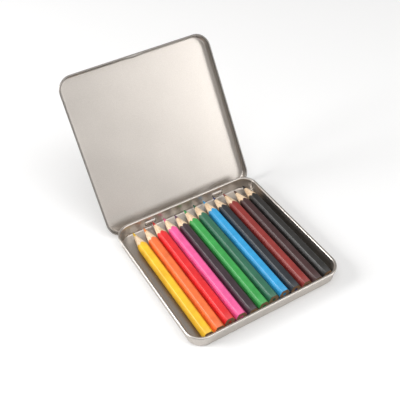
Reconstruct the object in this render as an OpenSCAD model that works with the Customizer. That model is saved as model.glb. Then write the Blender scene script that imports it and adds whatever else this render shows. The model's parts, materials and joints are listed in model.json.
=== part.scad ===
// Hinged tin with a set of colored pencils, lid open.
// The origin is on the table under the middle of the tray. +Y points to the hinge, +Z up.

/* [Tray] */
// Width of the tray over its rolled rim, left to right
tray_w = 100; // [92:1:130]
// Depth of the tray over its rolled rim, front to back
tray_d = 100; // [99:1:130]
// Height of the tray from the table to the top of its rim
tray_h = 8.9; // [8.7:0.1:12]
// Diameter of the tray's rolled rim
tray_roll = 1.8; // [1.5:0.1:2.2]
// Corner radius of the tray, over the rim
tray_corner = 10.2; // [8:0.2:14]
// Outer radius of the bend between the tray's floor and walls
tray_bend = 1.2; // [0.8:0.1:1.3]
// Thickness of the sheet metal
sheet = 0.35; // [0.25:0.05:0.45]

/* [Lid] */
// Gap between the tray's rim and the closed lid's skirt
lid_gap = 0.35; // [0.3:0.05:0.6]
// Gap between the tray's rim and the closed lid's panel
lid_top_gap = 0.3; // [0.2:0.1:1]
// How far the closed lid's skirt comes down below the top of the tray's rim
lid_reach = 4.8; // [4:0.1:5.1]
// Diameter of the lid's rolled rim
lid_roll = 1.25; // [1:0.05:1.5]
// Corner radius of the lid, over its rim
lid_corner = 9.6; // [8:0.2:10.4]
// Outer radius of the bend between the lid's panel and its skirt
lid_bend = 1.5; // [1:0.1:2]
// How far the lid stands open, in degrees from closed
lid_open = 121.5; // [0:0.5:121.5]

/* [Catch] */
// Width of the dimple pressed into the middle of the lid's front skirt
catch_w = 16; // [10:1:24]
// How far the dimple stands in
catch_depth = 0.9; // [0.4:0.1:1]
// Gap between the dimple's top and the tray's rolled rim above it
catch_gap = 0.4; // [0.3:0.1:0.8]

/* [Hinge] */
// How far the hinge axis lies inside the back edge of the tray's rim
hinge_inset = 0.5; // [0.4:0.05:0.6]
// How far the hinge axis lies below the closed lid's rim
hinge_drop = 0.4; // [0.3:0.05:0.7]
// Distance of each curled hinge tab from the middle
tab_x = 24.6; // [15:0.2:32]
// Width of a hinge tab
tab_w = 6.6; // [4:0.2:9]
// Outer radius of the curl at the end of a hinge tab
tab_r = 1.5; // [1.3:0.05:1.6]
// Gap between a tab and the ends of its slot in the tray's back wall
slot_end_gap = 0.6; // [0.3:0.1:1.2]
// Gap between a tab's curl and the bottom edge of its slot
slot_gap = 0.35; // [0.25:0.05:0.4]
// Height of the strip of wall left between a slot and the rolled rim
slot_strip = 0.6; // [0.4:0.1:1.2]

/* [Pencils] */
// Length of a pencil
pencil_l = 91.5; // [60:0.5:92]
// Width of a pencil across its flats
pencil_flats = 6.3; // [5.4:0.1:6.7]
// How much is rounded off each long edge
edge_round = 0.14; // [0.05:0.01:0.3]
// Thickness of the lacquer
lacquer = 0.15; // [0.1:0.01:0.25]
// Diameter of the colored lead
lead_d = 2.2; // [1.8:0.1:3]
// Length of the sharpened point, measured along the middle of a flat
point_l = 12.5; // [10:0.5:18]
// Radius of the blunt end of the point
point_r = 0.35; // [0.2:0.05:0.6]
// Share of the tray's spare width that lies between the pencils, and not beside the row
row_spread = 0.32; // [0.2:0.02:0.8]
// Where the row lies: 0 is in the middle of the tray and 1 against its right wall
row_shift = 0.5; // [0:0.05:0.9]

/* [Hidden] */
$fn = 96;
far = 200;

// Each pencil: name and color, how far it has slid to the back as a share of the room before
// its ends, and how far its point leans to the right as a share of the gap beside it
PENCILS = [
    ["yellow", [0.98, 0.76, 0.16], 0, 0],
    ["orange", [0.95, 0.45, 0.20], 0.06, 0.4],
    ["red", [0.90, 0.13, 0.15], 0.75, 0.4],
    ["pink", [0.93, 0.36, 0.60], 0.56, 0.6],
    ["plum", [0.28, 0.16, 0.21], 0.07, 0.6],
    ["green", [0.22, 0.62, 0.29], 0.39, 0.6],
    ["dark_green", [0.16, 0.42, 0.33], 0.78, 0.7],
    ["sky_blue", [0.16, 0.64, 0.85], 0.8, 0.7],
    ["navy", [0.14, 0.17, 0.21], 0.49, 0.7],
    ["red_brown", [0.56, 0.16, 0.14], 0.2, 1],
    ["dark_brown", [0.30, 0.15, 0.15], -0.29, 1.2],
    ["black", [0.12, 0.12, 0.11], 0.1, 1.5],
];
PENCIL_PARTS = ["lacquer", "wood", "lead"];

TIN = [0.72, 0.70, 0.67];
WOOD = [0.86, 0.68, 0.48];

// Tray
tray_wall = tray_roll - sheet;
floor_edge = tray_wall + tray_bend;

// Where each curled edge starts and ends, in degrees round its middle
tray_curl = [-110, 180];
lid_curl = [180, 470];
tab_curl = [75, 395];

// Lid, measured closed
lid_w = tray_w + 2 * (lid_gap + lid_roll);
lid_d = tray_d + 2 * (lid_gap + lid_roll);
lid_h = lid_reach + lid_top_gap + sheet;
lid_rim_z = tray_h - lid_reach;
lid_edge = lid_roll - sheet + lid_bend;

// Catch dimple in the lid's front skirt: how far it stands in at each place along it
catch_h = lid_reach - tray_roll - catch_gap;
catch_steps = [-1:1/12:1];
function catch_dip(step) = catch_depth * (1 + cos(180 * step)) / 2;

// Hinge
hinge_y = tray_d / 2 - hinge_inset;
hinge_z = lid_rim_z - hinge_drop;
tab_notch = tab_w + 2 * slot_end_gap;
tab_depth = hinge_y - (tray_d / 2 - tray_wall);
slot_bottom = hinge_z - sqrt(pow(tab_r, 2) - pow(tab_depth, 2)) - slot_gap;
slot_top = tray_h - tray_roll - slot_strip;
strip_foot = hinge_z + tab_r / 2;
notch_h = lid_roll + sheet / 2;

// Row of loose pencils, which spreads out over the width that they leave in the tray
row_count = len(PENCILS);
pencil_corners = pencil_flats / cos(30) - 2 * edge_round;
spare_w = tray_w - 2 * tray_roll - row_count * pencil_corners;
pencil_gap = row_spread * spare_w / (row_count - 1);
side_gap = (1 - row_spread) * spare_w / 2;
pitch = pencil_corners + pencil_gap;
row_start = row_shift * side_gap - (row_count - 1) / 2 * pitch;
end_room = (tray_d - 2 * tray_roll - pencil_l) / 2;

// The cone that a sharpener cuts, which starts out wider than the pencil
slope = (pencil_flats / 2 - point_r) / (point_l - point_r);
cone_r = pencil_flats / 2 / cos(30);
cone_l = (cone_r - point_r) / slope;

// Part of a rolled sheet, between two angles, seen end on
module curl(radius, ends) {
    reach = 2 * radius;
    gap_middle = (ends[0] + ends[1]) / 2 + 180;
    gap_half = 180 - (ends[1] - ends[0]) / 2;
    difference() {
        circle(r = radius);
        circle(r = radius - sheet);
        polygon([
            [0, 0],
            for (k = [-1, -0.5, 0, 0.5, 1]) reach * [cos(gap_middle + k * gap_half), sin(gap_middle + k * gap_half)],
        ]);
    }
}

// A straight run of the profile, facing +X
module straight_run(length) {
    rotate([90, 0, 0])
        linear_extrude(height = length, center = true)
            children();
}

// The four corners of a rounded frame, with the profile's x = 0 on the frame's outline
module corner_runs(w, d, r) {
    for (q = [[1, 1, 0], [-1, 1, 90], [-1, -1, 180], [1, -1, 270]])
        translate([q[0] * (w / 2 - r), q[1] * (d / 2 - r), 0])
            rotate([0, 0, q[2]])
                rotate_extrude(angle = 90)
                    translate([r, 0])
                        children();
}

// The left and right sides of a rounded frame
module side_runs(w, d, r) {
    for (turn = [0, 180])
        rotate([0, 0, turn])
            translate([w / 2, 0, 0])
                straight_run(d - 2 * r)
                    children();
}

// One end of a rounded frame: the back at 90 degrees, the front at 270
module end_run(w, d, r, turn) {
    rotate([0, 0, turn])
        translate([d / 2, 0, 0])
            straight_run(w - 2 * r)
                children();
}

// A flat sheet with rounded corners
module rounded_sheet(w, d, r) {
    linear_extrude(height = sheet) {
        square([w - 2 * r, d], center = true);
        square([w, d - 2 * r], center = true);
        for (x = [-1, 1], y = [-1, 1])
            translate([x * (w / 2 - r), y * (d / 2 - r)])
                circle(r = r);
    }
}

// The tray's wall, with the floor's bend below it and the rolled rim above
module tray_profile() {
    translate([-tray_roll, tray_bend])
        square([sheet, tray_h - tray_bend - tray_roll / 2]);
    translate([-tray_roll / 2, tray_h - tray_roll / 2])
        curl(tray_roll / 2, tray_curl);
    translate([-floor_edge, tray_bend])
        curl(tray_bend, [-90, 0]);
}

// Slots in the tray's back wall for the lid's hinge tabs
module hinge_slots() {
    for (x = [-tab_x, tab_x])
        translate([x, tray_d / 2 - tray_wall - sheet / 2, (slot_bottom + slot_top) / 2])
            cube([tab_notch, 3 * sheet, slot_top - slot_bottom], center = true);
}

module base_tray() {
    color(TIN)
        difference() {
            union() {
                corner_runs(tray_w, tray_d, tray_corner)
                    tray_profile();
                side_runs(tray_w, tray_d, tray_corner)
                    tray_profile();
                for (turn = [90, 270])
                    end_run(tray_w, tray_d, tray_corner, turn)
                        tray_profile();
                rounded_sheet(tray_w - 2 * floor_edge, tray_d - 2 * floor_edge, tray_corner - floor_edge);
            }
            hinge_slots();
        }
}

// The lid's skirt from its rolled rim, at height 0, to the panel's bend
module lid_profile() {
    translate([-lid_roll / 2, lid_roll / 2])
        curl(lid_roll / 2, lid_curl);
    translate([-lid_roll, lid_roll / 2])
        square([sheet, lid_h - lid_bend - lid_roll / 2]);
    translate([-lid_edge, lid_h - lid_bend])
        curl(lid_bend, [0, 90]);
}

// The part of the lid's profile below the dimple's top, or the part above it
module lid_profile_part(below) {
    intersection() {
        lid_profile();
        translate([-far / 2, below ? catch_h - far : catch_h])
            square([far, far]);
    }
}

// A band of the dimple between two distances from the lid's outline, facing +X.
// dipped is 1 for an edge that follows the dimple and 0 for a straight one.
module catch_band(inner, outer, dipped, height) {
    linear_extrude(height = height)
        polygon(concat(
            [for (k = catch_steps) [inner - catch_dip(k), k * catch_w / 2]],
            [for (k = catch_steps) [outer - dipped * catch_dip(k), -k * catch_w / 2]]
        ));
}

// The lower half of the front skirt where it is pressed in, which flattens the rolled rim
module catch_dimple() {
    catch_band(-lid_roll, sheet - lid_roll, 1, catch_h);
    catch_band(-lid_roll, 0, 0, lid_roll);
    translate([0, 0, catch_h - sheet / 2])
        catch_band(sheet / 2 - lid_roll, sheet - lid_roll, 0, sheet);
}

// The lid's front skirt, with its lower half pressed in at the middle
module lid_front() {
    run = lid_w - 2 * lid_corner;
    side_run = (run - catch_w) / 2;
    rotate([0, 0, 270])
        translate([lid_d / 2, 0, 0]) {
            straight_run(run)
                lid_profile_part(false);
            for (side = [-1, 1])
                translate([0, side * (catch_w + side_run) / 2, 0])
                    straight_run(side_run)
                        lid_profile_part(true);
            catch_dimple();
        }
}

// A hinge tab: the skirt runs on below the rim and curls round the hinge axis
module hinge_tab() {
    rotate([90, 0, 90])
        linear_extrude(height = tab_w, center = true) {
            translate([hinge_y, hinge_z])
                curl(tab_r, tab_curl);
            translate([lid_d / 2 - lid_roll, strip_foot])
                square([sheet, lid_rim_z + 2 * lid_roll - strip_foot]);
        }
}

// The lid as it lies closed on the tray
module closed_lid() {
    translate([0, 0, lid_rim_z])
        difference() {
            union() {
                corner_runs(lid_w, lid_d, lid_corner)
                    lid_profile();
                side_runs(lid_w, lid_d, lid_corner)
                    lid_profile();
                end_run(lid_w, lid_d, lid_corner, 90)
                    lid_profile();
                lid_front();
                translate([0, 0, lid_h - sheet])
                    rounded_sheet(lid_w - 2 * lid_edge, lid_d - 2 * lid_edge, lid_corner - lid_edge);
            }
            for (x = [-tab_x, tab_x])
                translate([x, lid_d / 2, 0])
                    cube([tab_notch, 3 * lid_roll, 2 * notch_h], center = true);
        }
    for (x = [-tab_x, tab_x])
        translate([x, 0, 0])
            hinge_tab();
}

module lid() {
    color(TIN)
        translate([0, hinge_y, hinge_z])
            rotate([-lid_open, 0, 0])
                translate([0, -hinge_y, -hinge_z])
                    closed_lid();
}

// A pencil's cross-section, drawn in from its surface by inset
module hexagon(inset) {
    intersection() {
        circle(r = (pencil_flats / 2 - inset) / cos(30), $fn = 6);
        circle(r = pencil_corners / 2 - inset);
    }
}

// Everything that a sharpener leaves of a pencil that stands on its flat end
module sharpened() {
    cylinder(h = pencil_l - point_r - cone_l, r = cone_r);
    translate([0, 0, pencil_l - point_r - cone_l])
        cylinder(h = cone_l, r1 = cone_r, r2 = point_r);
    translate([0, 0, pencil_l - point_r])
        sphere(r = point_r);
}

// Lays a pencil, or a part of one, in its place in the row with its point to the back
module laid_in_row(i) {
    slide = PENCILS[i][2] * end_room;
    sway = PENCILS[i][3] * pencil_gap;
    translate([row_start + i * pitch, slide, sheet + pencil_flats / 2])
        rotate([0, 0, -atan(2 * sway / pencil_l)])
            rotate([-90, 0, 0])
                translate([0, 0, -pencil_l / 2])
                    intersection() {
                        children();
                        sharpened();
                    }
}

module pencil_lacquer(i) {
    color(PENCILS[i][1])
        laid_in_row(i)
            linear_extrude(height = pencil_l)
                difference() {
                    hexagon(0);
                    hexagon(lacquer);
                }
}

module pencil_wood(i) {
    color(WOOD)
        laid_in_row(i)
            linear_extrude(height = pencil_l)
                difference() {
                    hexagon(lacquer);
                    circle(d = lead_d);
                }
}

module pencil_lead(i) {
    color(PENCILS[i][1])
        laid_in_row(i)
            cylinder(h = pencil_l, d = lead_d);
}

base_tray();
lid();
for (i = [0:len(PENCILS) - 1]) {
    pencil_lacquer(i);
    pencil_wood(i);
    pencil_lead(i);
}
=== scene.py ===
"""Looks of a hinged tin with twelve colored pencils: satin tinplate, lacquer, cut wood and lead."""
import json
import math
import random

import bmesh
import bpy
from mathutils import Matrix, Vector, noise


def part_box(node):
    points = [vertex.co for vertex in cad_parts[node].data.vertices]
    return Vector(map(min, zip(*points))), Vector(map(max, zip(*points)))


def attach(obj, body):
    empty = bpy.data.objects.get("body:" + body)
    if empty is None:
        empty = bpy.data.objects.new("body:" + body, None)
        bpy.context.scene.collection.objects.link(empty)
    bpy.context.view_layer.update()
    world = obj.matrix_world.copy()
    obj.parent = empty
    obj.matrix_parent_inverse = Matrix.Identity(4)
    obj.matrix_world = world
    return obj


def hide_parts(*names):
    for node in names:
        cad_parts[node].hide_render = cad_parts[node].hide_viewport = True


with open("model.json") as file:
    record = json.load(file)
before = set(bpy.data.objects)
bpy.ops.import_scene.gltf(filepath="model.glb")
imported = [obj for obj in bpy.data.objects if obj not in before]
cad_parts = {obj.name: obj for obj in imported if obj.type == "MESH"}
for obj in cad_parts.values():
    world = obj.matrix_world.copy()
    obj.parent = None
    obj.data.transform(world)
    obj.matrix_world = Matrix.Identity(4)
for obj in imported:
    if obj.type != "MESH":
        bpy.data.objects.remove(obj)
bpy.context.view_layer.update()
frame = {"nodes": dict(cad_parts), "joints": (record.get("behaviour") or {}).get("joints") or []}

MM = 0.001

# Camera: the photograph's view of the tin, in degrees and millimeters
VIEW_AZIMUTH = -28.83
VIEW_ELEVATION = 42.82
VIEW_ROLL = -2.61
VIEW_DISTANCE = 442.7
VIEW_TARGET = (9.48, 44.26, 8.9)
VIEW_FOCAL_PX = 691.5
PHOTO_PX = 400
SENSOR = 36.0
CLIP_START = 0.01
CLIP_END = 20

# Sheet metal, in millimeters, as the solids have it
SHEET = 0.35
TRAY_ROLL = 1.8
TRAY_CORNER = 10.2
TRAY_BEND = 1.2
LID_ROLL = 1.25
LID_CORNER = 9.6
LID_BEND = 1.5
LID_REACH = 4.8
LID_TOP_GAP = 0.3

# Curled edges: start and end, in degrees round their middle, with 0 outward and 90 up
TRAY_CURL = (180, -110)
LID_CURL = (180, 470)

# Steps round the bends, and round the outer and inner face of each curled edge
BEND_STEPS = 8
TRAY_CURL_STEPS = (28, 20)
LID_CURL_STEPS = (24, 18)
TAB_STEPS = (32, 28)

# A frame's straight sides and round corners, the flat strip beside its bend, and when two places agree
SIDE_STEP = 2.0
CORNER_STEPS = 20
SUPPORT = 1.5
SAME_PLACE = 0.001

# How much the pressed sheets wander and over what distance; without its seed it differs from run to run
WANDER_SEED = 1
TRAY_WANDER = 0.015
TRAY_WANDER_SIZE = 14
LID_WANDER = 0.02
LID_WANDER_SIZE = 16
WANDER_OFFSET = Vector((17.3, 5.1, 9.7))

# Catch dimple in the lid's front skirt, which reaches SKIRT_ZONE behind the lid's front edge
CATCH_W = 16.0
CATCH_DEPTH = 0.9
CATCH_TOP = 3.2
CATCH_STEPS = 12
SKIRT_ZONE = 3.0

# Hinge tabs of the lid and their slots in the tray; a tab ends at TAB_TIP degrees round its axis
TAB_X = 24.6
TAB_W = 6.6
TAB_R = 1.5
TAB_TIP = 75
TAB_MARGIN = 0.1
SLOT_END_GAP = 0.6
SLOT_GAP = 0.35
SLOT_STRIP = 0.6

# Pencils
ACROSS_FLATS = 6.3
EDGE_FILLET = 0.65
LACQUER = 0.15
CHAMFER = 0.06
LEAD_R = 1.1
POINT_L = 12.5
POINT_R = 0.35
POINT_TURN = 80
END_SLICE = 0.02

# Steps along and round a pencil
LACQUER_STEPS = 12
CONE_STEPS = 10
LEAD_STEPS = 6
POINT_STEPS = 4
EDGE_STEPS = 4
FLAT_STEPS = 8

# A sharpener's cone stands a little off the pencil's middle and is a little rippled
CONE_LEAN = (0.03, 0.10)
CONE_RIPPLE = 0.012
RIPPLE_SCALE = 4
RIPPLE_OFFSET = 3.7

# Edges sharper than this, in degrees, stay crisp
METAL_CRISP = 35
PENCIL_CRISP = 50
LEAD_CRISP = 60

# Colors are linear. Pencils stand from left to right in this order
LACQUERS = {
    "yellow": (0.95, 0.52, 0.012),
    "orange": (0.88, 0.16, 0.03),
    "red": (0.76, 0.008, 0.012),
    "pink": (0.85, 0.10, 0.32),
    "plum": (0.03, 0.012, 0.02),
    "green": (0.03, 0.34, 0.06),
    "dark_green": (0.016, 0.13, 0.07),
    "sky_blue": (0.018, 0.33, 0.66),
    "navy": (0.01, 0.014, 0.02),
    "red_brown": (0.26, 0.018, 0.013),
    "dark_brown": (0.045, 0.011, 0.011),
    "black": (0.01, 0.0095, 0.008),
}
LEADS = {
    "yellow": (0.90, 0.55, 0.03),
    "orange": (0.82, 0.22, 0.04),
    "red": (0.62, 0.03, 0.03),
    "pink": (0.80, 0.10, 0.28),
    "plum": (0.10, 0.03, 0.09),
    "green": (0.03, 0.28, 0.07),
    "dark_green": (0.02, 0.12, 0.07),
    "sky_blue": (0.03, 0.30, 0.60),
    "navy": (0.02, 0.035, 0.14),
    "red_brown": (0.25, 0.04, 0.03),
    "dark_brown": (0.08, 0.03, 0.02),
    "black": (0.02, 0.02, 0.02),
}
TIN_DARK = (0.53, 0.49, 0.45)
TIN_LIGHT = (0.64, 0.60, 0.56)
TIN_DULL = (0.93, 0.93, 0.93)
# Painted shade: the color that darkens the lid's rolled rim
TIN_RIM_SHADE = (0.48, 0.48, 0.48)
WOOD_DARK = (0.62, 0.42, 0.25)
WOOD_MIDDLE = (0.82, 0.63, 0.43)
WOOD_LIGHT = (0.92, 0.76, 0.56)
WOOD_CLOUD = (0.92, 0.90, 0.88)
# The sawn end's darkening: partly end grain, partly painted shade
WOOD_END_GRAIN_AND_SHADE = (0.42, 0.34, 0.28)
PAPER_DARK = (0.885, 0.885, 0.885)
PAPER_LIGHT = (0.90, 0.90, 0.90)
WHITE = (1, 1, 1)

# Studio: half the floor's width in meters, and the even light from all sides
FLOOR_HALF = 4.0
WORLD_COLOR = (1.0, 0.985, 0.97)
WORLD_STRENGTH = 0.31

# Area lights: place, the point they face, size in meters and power in watts
LIGHTS = {
    "ceiling": ((-0.4, -0.4, 2.3), (0, 0, 0), (2.2, 2.2), 24),
    "key": ((0.38, -0.66, 1.2), (0, 0, 0), (0.6, 0.6), 3.4),
    "left_softbox": ((-0.96, 0.42, 0.5), (0, 0, 0.02), (0.5, 0.5), 11),
    "front_softbox": ((0.95, -0.98, 0.52), (0, 0.06, 0.04), (0.6, 0.7), 4.9),
    "front_fill": ((0.38, -1.2, 0.50), (0, 0.06, 0.04), (1.3, 0.8), 1.6),
}


# Materials

# Sockets of a mix node that mixes colors
MIX_FACTOR = 0
MIX_FIRST = 6
MIX_SECOND = 7
MIX_RESULT = 2


class Surface:
    """A material whose look comes from nodes in front of its principled shader."""

    def __init__(self, name):
        self.material = bpy.data.materials.new(name)
        self.material.use_nodes = True
        self.nodes = self.material.node_tree.nodes
        self.shader = self.nodes["Principled BSDF"]

    def link(self, source, socket):
        self.material.node_tree.links.new(source, socket)

    def vary(self, name, source):
        """Feeds one of the shader's inputs from a node."""
        self.link(source, self.shader.inputs[name])

    def fix(self, name, value):
        """Sets one of the shader's inputs for the whole surface."""
        self.shader.inputs[name].default_value = value

    def texture(self, scale, detail=3, stretch=(1, 1, 1)):
        """Noise with features about 1/scale meters wide; a stretch below 1 draws them out on that axis."""
        source = self.nodes.new("ShaderNodeTexCoord")
        mapping = self.nodes.new("ShaderNodeMapping")
        mapping.inputs["Scale"].default_value = [scale * s for s in stretch]
        self.link(source.outputs["Object"], mapping.inputs["Vector"])
        node = self.nodes.new("ShaderNodeTexNoise")
        node.inputs["Scale"].default_value = 1
        node.inputs["Detail"].default_value = detail
        self.link(mapping.outputs["Vector"], node.inputs["Vector"])
        return node.outputs["Fac"]

    def mark(self, name):
        """The number that mark_points stored on the mesh, or 0 where it stored none."""
        node = self.nodes.new("ShaderNodeAttribute")
        node.attribute_name = name
        return node.outputs["Fac"]

    def ramp(self, value, stops):
        """Maps a value to colors; stops are (position, color)."""
        node = self.nodes.new("ShaderNodeValToRGB")
        elements = node.color_ramp.elements
        while len(elements) < len(stops):
            elements.new(0.5)
        for element, (position, color) in zip(elements, stops):
            element.position = position
            element.color = (*color, 1)
        self.link(value, node.inputs["Fac"])
        return node.outputs["Color"]

    def spread(self, value, low, high, from_low=0.3, from_high=0.7):
        """Maps a value from one range to another."""
        node = self.nodes.new("ShaderNodeMapRange")
        node.inputs["From Min"].default_value = from_low
        node.inputs["From Max"].default_value = from_high
        node.inputs["To Min"].default_value = low
        node.inputs["To Max"].default_value = high
        self.link(value, node.inputs["Value"])
        return node.outputs["Result"]

    def times(self, first, second):
        """The product of two values."""
        node = self.nodes.new("ShaderNodeMath")
        node.operation = "MULTIPLY"
        self.link(first, node.inputs[0])
        self.link(second, node.inputs[1])
        return node.outputs[0]

    def blend(self, factor, first, second, kind="MIX"):
        """Blends two colors; each input is a node's output, a color or a number."""
        node = self.nodes.new("ShaderNodeMix")
        node.data_type = "RGBA"
        node.blend_type = kind
        for place, value in ((MIX_FACTOR, factor), (MIX_FIRST, first), (MIX_SECOND, second)):
            socket = node.inputs[place]
            if isinstance(value, bpy.types.NodeSocket):
                self.link(value, socket)
            elif isinstance(value, tuple):
                socket.default_value = (*value, 1)
            else:
                socket.default_value = value
        return node.outputs[MIX_RESULT]

    def tint(self, color, filter_color):
        """A color as it looks through a filter of another color."""
        return self.blend(1.0, color, filter_color, "MULTIPLY")

    def bump(self, height, strength, distance, below=None):
        """A shading normal for small relief, on top of the relief below."""
        node = self.nodes.new("ShaderNodeBump")
        node.inputs["Strength"].default_value = strength
        node.inputs["Distance"].default_value = distance
        self.link(height, node.inputs["Height"])
        if below is not None:
            self.link(below, node.inputs["Normal"])
        return node.outputs["Normal"]


def tinplate():
    """Satin tinned steel: speckle, faint rolling grain, soft waves, dull marks and painted shade darkening
    the lid's rolled rim.
    """
    tin = Surface("tinplate")
    speckle = tin.texture(scale=3600, detail=2)
    grain = tin.texture(scale=900, stretch=(0.06, 1, 1))
    marks = tin.texture(scale=45, detail=4)
    color = tin.ramp(speckle, [(0.28, TIN_DARK), (0.72, TIN_LIGHT)])
    bare = tin.tint(color, tin.ramp(marks, [(0.2, TIN_DULL), (0.8, WHITE)]))
    # Painted shade: the lid's rolled rim is darkened by this tint
    shaded_rim = tin.tint(bare, TIN_RIM_SHADE)
    tin.vary("Base Color", tin.blend(tin.mark("rolled"), bare, shaded_rim))
    tin.fix("Metallic", 1.0)
    tin.vary("Roughness", tin.spread(marks, 0.34, 0.40, from_low=0.1, from_high=0.9))
    waves = tin.bump(tin.texture(scale=28, detail=1), strength=0.25, distance=0.0006)
    lines = tin.bump(grain, strength=0.12, distance=0.00004, below=waves)
    tin.vary("Normal", tin.bump(speckle, strength=0.35, distance=0.00003, below=lines))
    return tin.material


def scaled(color, factor, added=0.0):
    """A color made darker or lighter, with some white added, which stays within 1."""
    return tuple(min(1, c * factor + added) for c in color)


def lacquer_material(name, color):
    """Lacquer with a little orange peel, the wood's grain under it and paler worn edges."""
    coat = Surface(name)
    cloud = coat.texture(scale=160)
    body = coat.ramp(cloud, [(0.3, scaled(color, 0.86)), (0.7, scaled(color, 1.10, 0.004))])
    wear = coat.spread(coat.texture(scale=500), 0.0, 0.35)
    worn = coat.times(coat.mark("edge"), wear)
    coat.vary("Base Color", coat.blend(worn, body, scaled(color, 0.8, 0.16)))
    coat.vary("Roughness", coat.spread(coat.texture(scale=260), 0.42, 0.50))
    coat.fix("Specular IOR Level", 0.9)
    grain = coat.texture(scale=1500, stretch=(1, 0.03, 1))
    lines = coat.bump(grain, strength=0.4, distance=0.00012)
    peel = coat.texture(scale=1100, detail=1)
    coat.vary("Normal", coat.bump(peel, strength=0.12, distance=0.00005, below=lines))
    return coat.material


def wood_material():
    """Pale softwood with long grain where it was sharpened, and darker on its sawn end: partly end grain,
    partly painted shade.
    """
    wood = Surface("casing_wood")
    grain = wood.texture(scale=1300, detail=5, stretch=(1, 0.05, 1))
    color = wood.ramp(grain, [(0.25, WOOD_DARK), (0.5, WOOD_MIDDLE), (0.75, WOOD_LIGHT)])
    cloud = wood.ramp(wood.texture(scale=90, detail=2), [(0.3, WOOD_CLOUD), (0.7, WHITE)])
    mottled = wood.tint(color, cloud)
    # Sawn end darker: partly end grain, partly painted shade
    end_grain_and_shade = wood.tint(mottled, WOOD_END_GRAIN_AND_SHADE)
    wood.vary("Base Color", wood.blend(wood.mark("sawn"), mottled, end_grain_and_shade))
    wood.fix("Roughness", 0.72)
    wood.fix("Specular IOR Level", 0.25)
    wood.vary("Normal", wood.bump(grain, strength=0.5, distance=0.00012))
    return wood.material


def lead_material(name, color):
    """Waxy pigment core with a fine crumb, which varies its color, roughness and relief."""
    lead = Surface(name)
    crumb = lead.texture(scale=2600, detail=4)
    lead.vary("Base Color", lead.ramp(crumb, [(0.3, scaled(color, 0.75)), (0.7, scaled(color, 1.15, 0.01))]))
    lead.vary("Roughness", lead.spread(crumb, 0.42, 0.6))
    lead.vary("Normal", lead.bump(crumb, strength=0.4, distance=0.00008))
    return lead.material


def paper():
    """Matte white paper with a faint fiber."""
    sheet = Surface("paper")
    sheet.vary("Base Color", sheet.ramp(sheet.texture(scale=900), [(0.3, PAPER_DARK), (0.7, PAPER_LIGHT)]))
    sheet.fix("Roughness", 0.8)
    return sheet.material


# Meshes

def make_piece(name, vertices, faces, material, body, node, crisp):
    """Builds a closed smooth piece, which rides on its body and stands for its CAD node."""
    mesh = bpy.data.meshes.new(name)
    mesh.from_pydata(vertices, [], faces)
    work = bmesh.new()
    work.from_mesh(mesh)
    bmesh.ops.delete(work, geom=[v for v in work.verts if not v.link_faces], context="VERTS")
    bmesh.ops.recalc_face_normals(work, faces=work.faces)
    work.to_mesh(mesh)
    work.free()
    mesh.shade_smooth()
    mesh.set_sharp_from_angle(angle=math.radians(crisp))
    mesh.materials.append(material)
    piece = bpy.data.objects.new(name, mesh)
    bpy.context.scene.collection.objects.link(piece)
    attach(piece, body)
    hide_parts(node)
    return piece


def mark_points(piece, name, values):
    """Stores a number at each of a piece's points, for its material to read."""
    piece.data.attributes.new(name, "FLOAT", "POINT").data.foreach_set("value", values)


def arc(center, radius, start, stop, steps):
    """Profile points (inset, height) round a center, with 0 degrees outward and 90 up."""
    points = []
    for k in range(steps + 1):
        angle = math.radians(start + (stop - start) * k / steps)
        points.append((center[0] - radius * math.cos(angle), center[1] + radius * math.sin(angle)))
    return points


def side_places(half, cuts):
    """Places along a straight side from -half to half, with every cut among them."""
    ends = sorted([-half, half, *cuts])
    places = []
    for low, high in zip(ends, ends[1:]):
        count = max(1, round((high - low) / SIDE_STEP))
        places += [low + (high - low) * k / count for k in range(count)]
    return places + [half]


def frame_stations(half_w, half_d, radius, back_cuts, front_cuts=()):
    """Points round a rounded frame's outline, counterclockwise, each with its outward direction."""
    sides = [
        (0, half_d - radius, half_w, ()),
        (90, half_w - radius, half_d, back_cuts),
        (180, half_d - radius, half_w, ()),
        (270, half_w - radius, half_d, front_cuts),
    ]
    stations = []
    for turn, half, distance, cuts in sides:
        angle = math.radians(turn)
        out = Vector((round(math.cos(angle)), round(math.sin(angle))))
        along = Vector((-out.y, out.x))
        stations += [(out * distance + along * place, out) for place in side_places(half, cuts)]
        center = out * (distance - radius) + along * half
        for k in range(1, CORNER_STEPS):
            a = angle + math.pi / 2 * k / CORNER_STEPS
            toward = Vector((math.cos(a), math.sin(a)))
            stations.append((center + toward * radius, toward))
    return stations


def back_station(stations, x):
    """Index of the station on the back side at a place across the frame."""
    return next(i for i, (p, n) in enumerate(stations) if n.y == 1 and abs(p.x - x) < SAME_PLACE)


def swept(stations, profile):
    """Vertices of a profile carried round a frame, station by station, in millimeters."""
    return [Vector((p.x - n.x * inset, p.y - n.y * inset, height))
            for p, n in stations for inset, height in profile]


def swept_faces(count, rows, skipped):
    """Faces between neighboring stations and rows, and the two flat panels inside the frame."""
    faces = []
    for i in range(count):
        after = (i + 1) % count
        for j in range(rows - 1):
            if (i, j) not in skipped:
                faces.append((i * rows + j, i * rows + j + 1, after * rows + j + 1, after * rows + j))
    faces.append([i * rows for i in range(count)])
    faces.append([i * rows + rows - 1 for i in reversed(range(count))])
    return faces


def uneven(vertices, seed, amount, size):
    """Moves each point a little, as pressed sheet metal is never quite true."""
    offset = WANDER_OFFSET * seed
    return [v + amount * noise.noise_vector(v / size + offset) for v in vertices]


# Tray

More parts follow.
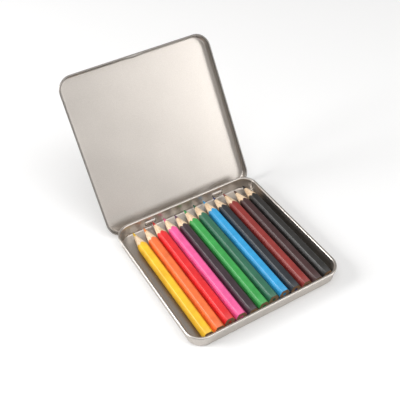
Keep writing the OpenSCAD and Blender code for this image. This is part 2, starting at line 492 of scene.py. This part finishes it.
def tray_profile(top, slot_low, slot_high):
    """The wall's cross-section from the middle of the floor's top, over the roll, to its underside."""
    wall = TRAY_ROLL - SHEET
    bend_at = (wall + TRAY_BEND, TRAY_BEND)
    roll_at = (TRAY_ROLL / 2, top - TRAY_ROLL / 2)
    inner = [(bend_at[0] + SUPPORT, SHEET)]
    inner += arc(bend_at, TRAY_BEND - SHEET, -90, 0, BEND_STEPS)
    inner += [(TRAY_ROLL, slot_low), (TRAY_ROLL, slot_high)]
    inner += arc(roll_at, TRAY_ROLL / 2, TRAY_CURL[0], TRAY_CURL[1], TRAY_CURL_STEPS[0])
    outer = arc(roll_at, TRAY_ROLL / 2 - SHEET, TRAY_CURL[1], TRAY_CURL[0], TRAY_CURL_STEPS[1])
    outer += [(wall, slot_high), (wall, slot_low)]
    outer += arc(bend_at, TRAY_BEND, 0, -90, BEND_STEPS)
    outer += [(bend_at[0] + SUPPORT, 0)]
    return inner + outer


def slot_faces(first, last, rows, inner_low, outer_high):
    """Faces that line a slot through the back wall: its lower and upper edge and its two ends."""
    faces = []
    for i in range(first, last):
        for a, b in ((inner_low, outer_high + 1), (inner_low + 1, outer_high)):
            faces.append((i * rows + a, i * rows + b, (i + 1) * rows + b, (i + 1) * rows + a))
    for i in (first, last):
        faces.append([i * rows + j for j in (inner_low, inner_low + 1, outer_high, outer_high + 1)])
    return faces


def make_tray(material):
    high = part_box("base_tray")[1] / MM
    hinge = Vector(frame["joints"][0]["pos_m"]) / MM
    depth = hinge.y - (high.y - TRAY_ROLL + SHEET)
    slot_low = hinge.z - math.sqrt(TAB_R ** 2 - depth ** 2) - SLOT_GAP
    slot_high = high.z - TRAY_ROLL - SLOT_STRIP
    slot_half = TAB_W / 2 + SLOT_END_GAP
    slots = [(side * TAB_X - slot_half, side * TAB_X + slot_half) for side in (-1, 1)]
    stations = frame_stations(high.x, high.y, TRAY_CORNER, [end for slot in slots for end in slot])
    profile = tray_profile(high.z, slot_low, slot_high)
    rows = len(profile)
    inner_low = profile.index((TRAY_ROLL, slot_low))
    outer_high = profile.index((TRAY_ROLL - SHEET, slot_high))
    skipped = set()
    bridges = []
    for left, right in slots:
        first, last = back_station(stations, right), back_station(stations, left)
        skipped.update((i, row) for i in range(first, last) for row in (inner_low, outer_high))
        bridges += slot_faces(first, last, rows, inner_low, outer_high)
    wandering = uneven(swept(stations, profile), 1, TRAY_WANDER, TRAY_WANDER_SIZE)
    vertices = [v * MM for v in wandering]
    faces = swept_faces(len(stations), rows, skipped) + bridges
    make_piece("tray_shell", vertices, faces, material, "tray", "base_tray", METAL_CRISP)


# Lid

def lid_profile(height, notch):
    """The skirt's cross-section, lying shut: from the panel's inside, round the rolled rim, to its top."""
    wall = LID_ROLL - SHEET
    bend_at = (wall + LID_BEND, height - LID_BEND)
    roll_at = (LID_ROLL / 2, LID_ROLL / 2)
    inner = [(bend_at[0] + SUPPORT, height - SHEET)]
    inner += arc(bend_at, LID_BEND - SHEET, 90, 0, BEND_STEPS)
    inner += [(LID_ROLL, CATCH_TOP), (LID_ROLL, notch)]
    inner += arc(roll_at, LID_ROLL / 2, LID_CURL[0], LID_CURL[1], LID_CURL_STEPS[0])
    outer = arc(roll_at, LID_ROLL / 2 - SHEET, LID_CURL[1], LID_CURL[0], LID_CURL_STEPS[1])
    outer += [(wall, notch), (wall, CATCH_TOP)]
    outer += arc(bend_at, LID_BEND, 0, 90, BEND_STEPS)
    outer += [(bend_at[0] + SUPPORT, height)]
    return inner + outer


def tab_profile(axis):
    """A hinge tab's cross-section below the notch: down the inner face, round the curl and up again."""
    inner_r = TAB_R - SHEET
    inner_join = math.degrees(math.acos((axis[0] - LID_ROLL) / inner_r))
    outer_join = math.degrees(math.acos((axis[0] - LID_ROLL + SHEET) / TAB_R))
    inner = arc(axis, inner_r, inner_join, TAB_TIP - 360, TAB_STEPS[1])
    outer = arc(axis, TAB_R, TAB_TIP - 360, outer_join, TAB_STEPS[0])
    return inner + outer


def fade(share):
    """Falls smoothly from 1 to 0 as a share goes from 0 to 1."""
    return (1 + math.cos(math.pi * share)) / 2


def dimple(vertex, front):
    """Presses the lower half of the front skirt in, round the middle; the rim's outer edge stays."""
    across = abs(vertex.x) / (CATCH_W / 2)
    if across >= 1 or vertex.y > front + SKIRT_ZONE or vertex.z > CATCH_TOP:
        return vertex
    upward = max(0, (vertex.z - LID_ROLL) / (CATCH_TOP - LID_ROLL))
    inward = min(1, max(0, (vertex.y - front) / (LID_ROLL - SHEET)))
    depth = CATCH_DEPTH * fade(across) * fade(upward)
    return Vector((vertex.x, vertex.y + depth * inward, vertex.z))


def notch_faces(first, tab_first, tab_last, last, rows, start, stop):
    """Faces that close the skirt's cut edge on both sides of a hinge tab."""
    faces = []
    for i in range(first, last):
        if not tab_first <= i < tab_last:
            faces.append((i * rows + start, i * rows + stop, (i + 1) * rows + stop, (i + 1) * rows + start))
    for i in (first, last):
        faces.append([i * rows + j for j in range(start, stop + 1)])
    return faces


def tab_mesh(stations, tab, tab_first, tab_last, rows, start, stop, count):
    """Points of a hinge tab, numbered from count, and the faces that join them to the skirt."""
    points = []
    lines = []
    for i in range(tab_first, tab_last + 1):
        out = stations[i][0]
        line = [i * rows + start]
        for inset, z in tab:
            line.append(count + len(points))
            points.append(Vector((out.x, out.y - inset, z)))
        lines.append(line + [i * rows + stop])
    faces = []
    for one, two in zip(lines, lines[1:]):
        faces += [(one[k], one[k + 1], two[k + 1], two[k]) for k in range(len(one) - 1)]
    return points, faces + [lines[0], lines[-1]]


def on_lid_roll(vertex):
    """Whether a point of the shut lid lies on its rolled rim and not on a hinge tab."""
    on_tab = vertex.y > 0 and abs(abs(vertex.x) - TAB_X) < TAB_W / 2 + TAB_MARGIN
    return vertex.z < LID_ROLL and not on_tab


def make_lid(material):
    joint = frame["joints"][0]
    hinge = Vector(joint["pos_m"]) / MM
    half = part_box("lid")[1].x / MM
    tray_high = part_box("base_tray")[1] / MM
    rim_z = tray_high.z - LID_REACH
    rim = Vector((0, 0, rim_z))
    tab_half = TAB_W / 2
    notch_half = tab_half + SLOT_END_GAP
    ends = (notch_half, tab_half, -tab_half, -notch_half)
    cuts = [side * TAB_X + end for side in (-1, 1) for end in ends]
    catch_cuts = [CATCH_W / 2 * k / CATCH_STEPS for k in range(-CATCH_STEPS, CATCH_STEPS + 1)]
    stations = frame_stations(half, half, LID_CORNER, cuts, catch_cuts)
    notch = LID_ROLL + SHEET / 2
    profile = lid_profile(LID_REACH + LID_TOP_GAP + SHEET, notch)
    rows = len(profile)
    start = profile.index((LID_ROLL, notch))
    stop = profile.index((LID_ROLL - SHEET, notch))
    tab = tab_profile((half - hinge.y, hinge.z - rim_z))
    wandering = uneven(swept(stations, profile), 2, LID_WANDER, LID_WANDER_SIZE)
    vertices = [dimple(v, -half) for v in wandering]
    skipped = set()
    extra = []
    for side in (-1, 1):
        first, tab_first, tab_last, last = (back_station(stations, side * TAB_X + end) for end in ends)
        skipped.update((i, j) for i in range(first, last) for j in range(start, stop))
        extra += notch_faces(first, tab_first, tab_last, last, rows, start, stop)
        points, faces = tab_mesh(stations, tab, tab_first, tab_last, rows, start, stop, len(vertices))
        vertices += points
        extra += faces
    opened = (
        Matrix.Translation(hinge)
        @ Matrix.Rotation(math.radians(joint["range_deg"][0]), 4, "X")
        @ Matrix.Translation(-hinge)
    )
    raised = [opened @ (v + rim) * MM for v in vertices]
    faces = swept_faces(len(stations), rows, skipped) + extra
    piece = make_piece("lid_shell", raised, faces, material, "lid", "lid", METAL_CRISP)
    shut = [opened.inverted() @ (v.co / MM) for v in piece.data.vertices]
    # Marks the rolled rim, where the tin material paints shade
    mark_points(piece, "rolled", [float(on_lid_roll(v - rim)) for v in shut])


# Pencils

# Half the angle that one of a hexagon's six sides takes, in degrees
HALF_SIDE = 30
HALF_SIDE_COS = math.cos(math.radians(HALF_SIDE))


def from_edge(angle):
    """How far an angle is from the nearest of a hexagon's edges, which lie at 0, 60, 120 degrees."""
    return abs((angle + HALF_SIDE) % (2 * HALF_SIDE) - HALF_SIDE)


def rounded_edge(apothem, fillet):
    """Distance from a hexagon's middle to a rounded edge's center, and half the angle the edge takes."""
    center = (apothem - fillet) / HALF_SIDE_COS
    return center, math.degrees(math.atan2(fillet / 2, center + fillet * HALF_SIDE_COS))


EDGE_TURN = rounded_edge(ACROSS_FLATS / 2, EDGE_FILLET)[1]


def ring_angles():
    """Angles round a pencil in degrees: close together on its six edges and along each flat."""
    corner = [EDGE_TURN * k / EDGE_STEPS for k in range(-EDGE_STEPS, EDGE_STEPS + 1)]
    flat_half = HALF_SIDE - EDGE_TURN
    flat = [HALF_SIDE - flat_half * (1 - 2 * k / FLAT_STEPS) for k in range(1, FLAT_STEPS)]
    return [2 * HALF_SIDE * side + a for side in range(6) for a in corner + flat]


def hexagon_radius(angle, apothem, fillet):
    """Distance from the middle to a hexagon with rounded edges."""
    center, turn = rounded_edge(apothem, fillet)
    off = from_edge(angle)
    a = math.radians(off)
    if off <= turn:
        return center * math.cos(a) + math.sqrt(fillet ** 2 - (center * math.sin(a)) ** 2)
    return apothem / math.cos(math.radians(HALF_SIDE) - a)


def middle(points):
    """The middle of the box round some points."""
    low = Vector([min(p[k] for p in points) for k in range(3)])
    high = Vector([max(p[k] for p in points) for k in range(3)])
    return (low + high) / 2


class Pencil:
    """One pencil's place, read from the solids, and the slightly uneven cone that sharpened it."""

    def __init__(self, color, seed):
        self.color = color
        self.body = f"{color}_pencil"
        points = [v.co / MM for v in frame["nodes"][f"{color}_pencil_lead"].data.vertices]
        back = max(p.y for p in points)
        front = min(p.y for p in points)
        tip = middle([p for p in points if p.y > back - END_SLICE])
        self.foot = middle([p for p in points if p.y < front + END_SLICE])
        low, high = (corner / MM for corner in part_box(f"{color}_pencil_lacquer"))
        self.apothem = (high.z - low.z) / 2
        self.length = (tip - self.foot).length
        self.axis = (tip - self.foot).normalized()
        self.side = self.axis.cross(Vector((0, 0, 1))).normalized()
        self.slope = (self.apothem - POINT_R) / (POINT_L - POINT_R)
        self.seed = seed
        draw = random.Random(seed)
        self.lean = draw.uniform(*CONE_LEAN)
        self.lean_at = draw.uniform(0, 2 * math.pi)

    def cone_place(self, angle, radius):
        """How far along the pencil the sharpener's cone comes down to a radius on that side."""
        a = math.radians(angle)
        off_center = self.lean * math.cos(a - self.lean_at)
        spot = Vector((math.cos(a) * RIPPLE_SCALE, self.seed * RIPPLE_OFFSET, radius))
        cut_r = radius - off_center + CONE_RIPPLE * noise.noise(spot)
        return self.length - POINT_R - (cut_r - POINT_R) / self.slope

    def point(self, along, angle, radius):
        a = math.radians(angle)
        across = self.side * math.cos(a) + Vector((0, 0, 1)) * math.sin(a)
        return (self.foot + self.axis * along + across * radius) * MM

    def loft(self, columns, closed):
        """Vertices and faces of columns of (along, angle, radius), closed into a ring or capped."""
        rows = len(columns[0])
        count = len(columns)
        vertices = [self.point(*place) for column in columns for place in column]
        faces = []
        for i in range(count):
            after = (i + 1) % count
            for j in range(rows if closed else rows - 1):
                down = (j + 1) % rows
                faces.append((i * rows + j, i * rows + down, after * rows + down, after * rows + j))
        if not closed:
            faces.append([i * rows for i in range(count)])
            faces.append([i * rows + rows - 1 for i in range(count)])
        return vertices, faces


def make_lacquer(pencil, material):
    columns = []
    for angle in ring_angles():
        outer = hexagon_radius(angle, pencil.apothem, EDGE_FILLET)
        inner = hexagon_radius(angle, pencil.apothem - LACQUER, EDGE_FILLET - LACQUER)
        run = pencil.cone_place(angle, outer) - CHAMFER
        inner_end = pencil.cone_place(angle, inner)
        column = [(0, angle, outer - CHAMFER)]
        column += [(CHAMFER + run * k / LACQUER_STEPS, angle, outer) for k in range(LACQUER_STEPS + 1)]
        column += [(inner_end, angle, inner), (inner_end / 2, angle, inner), (0, angle, inner)]
        columns.append(column)
    vertices, faces = pencil.loft(columns, True)
    name, node, slot = (f"{pencil.color}_{end}" for end in ("lacquer_coat", "pencil_lacquer", "lacquer"))
    piece = make_piece(name, vertices, faces, material, pencil.body, node, PENCIL_CRISP)
    worn = [max(0, 1 - from_edge(angle) / EDGE_TURN) for column in columns for _, angle, _ in column]
    mark_points(piece, "edge", worn)


def make_wood(pencil, material):
    columns = []
    for angle in ring_angles():
        outer = hexagon_radius(angle, pencil.apothem - LACQUER, EDGE_FILLET - LACQUER)
        edge, bare = pencil.cone_place(angle, outer), pencil.cone_place(angle, LEAD_R)
        column = [(0, angle, outer), (edge / 2, angle, outer)]
        for k in range(CONE_STEPS + 1):
            share = k / CONE_STEPS
            column.append((edge + (bare - edge) * share, angle, outer + (LEAD_R - outer) * share))
        column += [(bare / 2, angle, LEAD_R), (0, angle, LEAD_R)]
        columns.append(column)
    vertices, faces = pencil.loft(columns, True)
    name, node = f"{pencil.color}_casing", f"{pencil.color}_pencil_wood"
    piece = make_piece(name, vertices, faces, material, pencil.body, node, PENCIL_CRISP)
    # Marks the sawn end, which the wood material darkens with end grain and painted shade
    mark_points(piece, "sawn", [float(along == 0) for column in columns for along, _, _ in column])


def make_lead(pencil, material):
    columns = []
    cone_end = pencil.length - POINT_R
    for angle in ring_angles():
        start = pencil.cone_place(angle, LEAD_R)
        column = [(0, angle, LEAD_R), (start / 2, angle, LEAD_R)]
        for k in range(LEAD_STEPS + 1):
            share = k / LEAD_STEPS
            column.append((start + (cone_end - start) * share, angle, LEAD_R + (POINT_R - LEAD_R) * share))
        for k in range(1, POINT_STEPS + 1):
            turn = math.radians(POINT_TURN * k / POINT_STEPS)
            column.append((cone_end + POINT_R * math.sin(turn), angle, POINT_R * math.cos(turn)))
        columns.append(column)
    vertices, faces = pencil.loft(columns, False)
    name, node, slot = (f"{pencil.color}_{end}" for end in ("core", "pencil_lead", "lead"))
    make_piece(name, vertices, faces, material, pencil.body, node, LEAD_CRISP)


# Surroundings

def make_camera():
    azimuth, elevation = math.radians(VIEW_AZIMUTH), math.radians(VIEW_ELEVATION)
    back = Vector((
        math.sin(azimuth) * math.cos(elevation),
        -math.cos(azimuth) * math.cos(elevation),
        math.sin(elevation),
    ))
    right = (-back).cross(Vector((0, 0, 1))).normalized()
    up = right.cross(-back)
    roll = math.radians(VIEW_ROLL)
    turned_right = right * math.cos(roll) + up * math.sin(roll)
    turned_up = up * math.cos(roll) - right * math.sin(roll)
    data = bpy.data.cameras.new("camera")
    data.sensor_width = SENSOR
    data.lens = VIEW_FOCAL_PX / PHOTO_PX * SENSOR
    data.clip_start = CLIP_START
    data.clip_end = CLIP_END
    camera = bpy.data.objects.new("camera", data)
    place = Matrix((turned_right, turned_up, back)).transposed().to_4x4()
    place.translation = (Vector(VIEW_TARGET) + back * VIEW_DISTANCE) * MM
    camera.matrix_world = place
    bpy.context.scene.collection.objects.link(camera)
    bpy.context.scene.camera = camera


def make_floor():
    mesh = bpy.data.meshes.new("floor")
    corners = [(x * FLOOR_HALF, y * FLOOR_HALF, 0) for x, y in ((-1, -1), (1, -1), (1, 1), (-1, 1))]
    mesh.from_pydata(corners, [], [(0, 1, 2, 3)])
    mesh.materials.append(paper())
    floor = bpy.data.objects.new("floor", mesh)
    bpy.context.scene.collection.objects.link(floor)


def area_light(name, place, toward, size, power):
    data = bpy.data.lights.new(name, "AREA")
    data.shape = "RECTANGLE"
    data.size, data.size_y = size
    data.energy = power
    light = bpy.data.objects.new(name, data)
    light.location = place
    light.rotation_mode = "QUATERNION"
    light.rotation_quaternion = (Vector(toward) - Vector(place)).to_track_quat("-Z", "Y")
    bpy.context.scene.collection.objects.link(light)


def make_light():
    world = bpy.data.worlds.new("studio")
    world.use_nodes = True
    background = world.node_tree.nodes["Background"]
    background.inputs["Color"].default_value = (*WORLD_COLOR, 1)
    background.inputs["Strength"].default_value = WORLD_STRENGTH
    bpy.context.scene.world = world
    for name, setup in LIGHTS.items():
        area_light(name, *setup)
    bpy.context.scene.view_settings.view_transform = "Standard"


make_camera()
make_floor()
make_light()
TIN = tinplate()
WOOD = wood_material()
noise.seed_set(WANDER_SEED)
make_tray(TIN)
make_lid(TIN)
for number, color_name in enumerate(LACQUERS, 1):
    this = Pencil(color_name, number)
    make_lacquer(this, lacquer_material(f"{color_name}_lacquer", LACQUERS[color_name]))
    make_wood(this, WOOD)
    make_lead(this, lead_material(f"{color_name}_lead", LEADS[color_name]))
